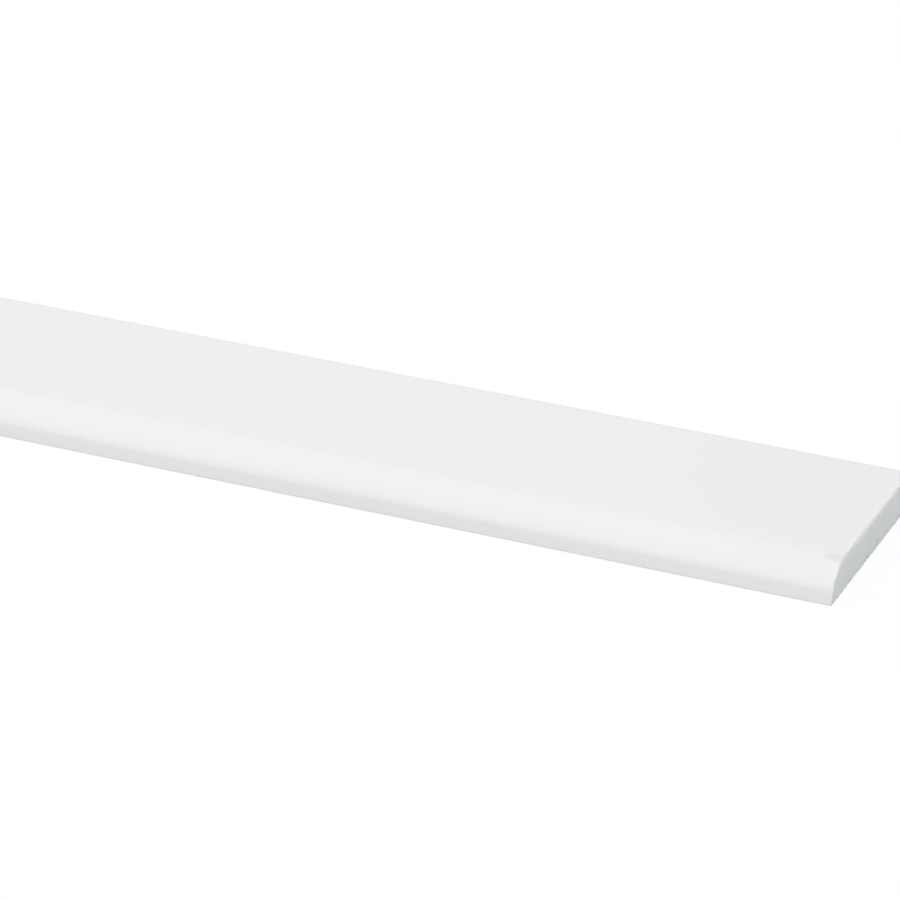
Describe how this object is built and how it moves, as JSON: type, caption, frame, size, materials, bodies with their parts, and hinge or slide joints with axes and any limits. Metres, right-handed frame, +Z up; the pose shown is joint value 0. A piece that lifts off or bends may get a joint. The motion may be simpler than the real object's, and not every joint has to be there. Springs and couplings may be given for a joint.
{
  "type": "cover strip",
  "caption": "Flat white cover strip with a plain back, rounded shoulders along the edges of its face and square sawn ends, for hiding a joint or gap.",
  "frame": {"origin": "middle of the flat back, half-way along the strip", "axes": "+X along the strip, +Y across it, +Z up from the back to the face"},
  "size_m": [2.4, 0.04, 0.005],
  "materials": {
    "white_plastic": "satin"
  },
  "bodies": {
    "root": {"cover_strip": "white_plastic"}
  },
  "joints": []
}
